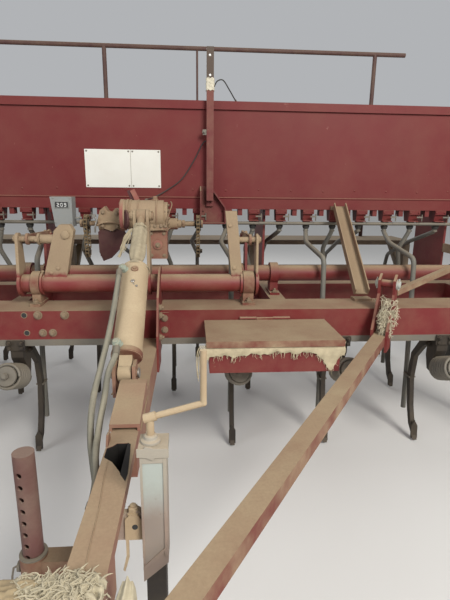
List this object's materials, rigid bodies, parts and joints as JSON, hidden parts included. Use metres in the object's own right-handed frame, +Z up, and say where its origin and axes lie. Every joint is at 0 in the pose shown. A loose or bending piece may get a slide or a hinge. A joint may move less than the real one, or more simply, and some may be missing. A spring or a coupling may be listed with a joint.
{
  "type": "trailed seed drill",
  "caption": "Trailed seed drill with a long seed box, rows of spring tines, wheels on lift legs, a hydraulic cylinder and an A-frame drawbar on a jack.",
  "frame": {"origin": "on the ground under the middle of the drill's length, on its centre plane", "axes": "+X to the right seen from the hitch, +Y towards the rear, +Z up; the hitch points to -Y"},
  "size_m": [4.325, 3.025, 2.129],
  "materials": {
    "red_paint": "dull red paint under tan dust",
    "box_paint": "dull dark red paint with fine dust",
    "dusty_steel": "red paint buried under tan dust",
    "grey_steel": "dull grey steel with soil",
    "dark_steel": "dark worn steel",
    "bright_steel": "worn bare steel",
    "pale_paint": "pale worn blue-grey paint",
    "rim_paint": "dusty cream paint",
    "tyre": "dusty rubber",
    "rubber": "dusty rubber",
    "plate": "white plate",
    "sacking": "coarse dusty cloth"
  },
  "bodies": {
    "root": {"front_beam": "red_paint", "rear_beams": "red_paint", "long_members": "red_paint", "drawbar_pole": "dusty_steel", "hitch_tongue": "dark_steel", "brace_left": "dusty_steel", "brace_right": "dusty_steel", "brace_ears": "red_paint", "head_plates": "red_paint", "box_front": "box_paint", "box_floor": "box_paint", "box_rear": "box_paint", "box_ends": "box_paint", "box_brackets": "red_paint", "seed_funnels": "box_paint", "seed_boots": "rubber", "seed_tubes": "grey_steel", "front_stays": "red_paint", "footboard": "grey_steel", "handrail": "red_paint", "box_mast": "red_paint", "chart_plate": "plate", "area_counter": "grey_steel", "drive_housing": "dusty_steel", "drive_chains": "dark_steel", "rockshaft_bearings": "red_paint", "lift_bearings": "red_paint", "tine_bars": "grey_steel", "tine_shanks": "dark_steel", "tine_springs": "grey_steel", "toolbox": "red_paint", "jack_body": "pale_paint", "jack_crank": "red_paint", "stand_sleeve": "red_paint", "ram_hoses": "rubber", "box_cable": "rubber", "toolbox_rag": "sacking", "straw_tuft": "sacking", "hitch_rag": "sacking"},
    "wheel_left": {"tyre_left": "tyre", "rim_left": "rim_paint"},
    "wheel_right": {"tyre_right": "tyre", "rim_right": "rim_paint"},
    "lift": {"lift_shaft": "red_paint", "wheel_legs": "red_paint"},
    "rockshaft": {"rockshaft": "red_paint"},
    "lift_links": {"lift_links": "red_paint"},
    "ram_barrel": {"ram_barrel": "dusty_steel", "ram_ports": "grey_steel"},
    "ram_rod": {"ram_rod": "bright_steel", "ram_boot": "sacking"},
    "box_lid_left": {"lid_left": "box_paint"},
    "box_lid_right": {"lid_right": "box_paint"},
    "toolbox_lid": {"toolbox_lid": "dusty_steel"},
    "jack_leg": {"jack_leg": "dark_steel"},
    "parking_stand": {"parking_stand": "red_paint"}
  },
  "joints": [
    {"name": "lift_turn", "type": "hinge", "parent": "root", "child": "lift", "pos_m": [0, 0.3995, 0.801], "axis": [-1, 0, 0], "range_deg": [-7, 25]},
    {"name": "wheel_left_spin", "type": "hinge", "parent": "lift", "child": "wheel_left", "pos_m": [-2.06, 0.9825, 0.39], "axis": [1, 0, 0], "continuous": true},
    {"name": "wheel_right_spin", "type": "hinge", "parent": "lift", "child": "wheel_right", "pos_m": [2.06, 0.9825, 0.39], "axis": [1, 0, 0], "continuous": true},
    {"name": "rockshaft_turn", "type": "hinge", "parent": "root", "child": "rockshaft", "pos_m": [0, 0.1085, 0.811], "axis": [-1, 0, 0], "range_deg": [-7, 25]},
    {"name": "links_turn", "type": "hinge", "parent": "rockshaft", "child": "lift_links", "pos_m": [0, 0.1085, 1], "axis": [-1, 0, 0], "range_deg": [-25, 7]},
    {"name": "ram_tilt", "type": "hinge", "parent": "root", "child": "ram_barrel", "pos_m": [-0.017, -0.5175, 0.657], "axis": [-1, 0, 0], "range_deg": [-1.8, 5.92]},
    {"name": "ram_slide", "type": "slide", "parent": "ram_barrel", "child": "ram_rod", "axis": [0, 0.8049, 0.5934], "range_m": [-0.0281, 0.0992]},
    {"name": "box_lid_left_hinge", "type": "hinge", "parent": "root", "child": "box_lid_left", "pos_m": [0, 1.1545, 1.609], "axis": [-1, 0, 0], "range_deg": [0, 105]},
    {"name": "box_lid_right_hinge", "type": "hinge", "parent": "root", "child": "box_lid_right", "pos_m": [0, 1.1545, 1.609], "axis": [-1, 0, 0], "range_deg": [0, 105]},
    {"name": "toolbox_lid_hinge", "type": "hinge", "parent": "root", "child": "toolbox_lid", "pos_m": [0.494, -0.0265, 0.686], "axis": [-1, 0, 0], "range_deg": [0, 85]},
    {"name": "jack_leg_slide", "type": "slide", "parent": "root", "child": "jack_leg", "axis": [0, 0, 1], "range_m": [-0.03, 0.13]},
    {"name": "parking_stand_slide", "type": "slide", "parent": "root", "child": "parking_stand", "axis": [0, 0, 1], "range_m": [-0.03, 0.3]}
  ],
  "couplings": [
    {"joint": "rockshaft_turn", "follows": "lift_turn", "ratio": 1},
    {"joint": "links_turn", "follows": "lift_turn", "ratio": -1},
    {"joint": "ram_tilt", "follows": "lift_turn", "ratio": 0.22897},
    {"joint": "ram_slide", "follows": "lift_turn", "m_per_rad": 0.22621}
  ]
}
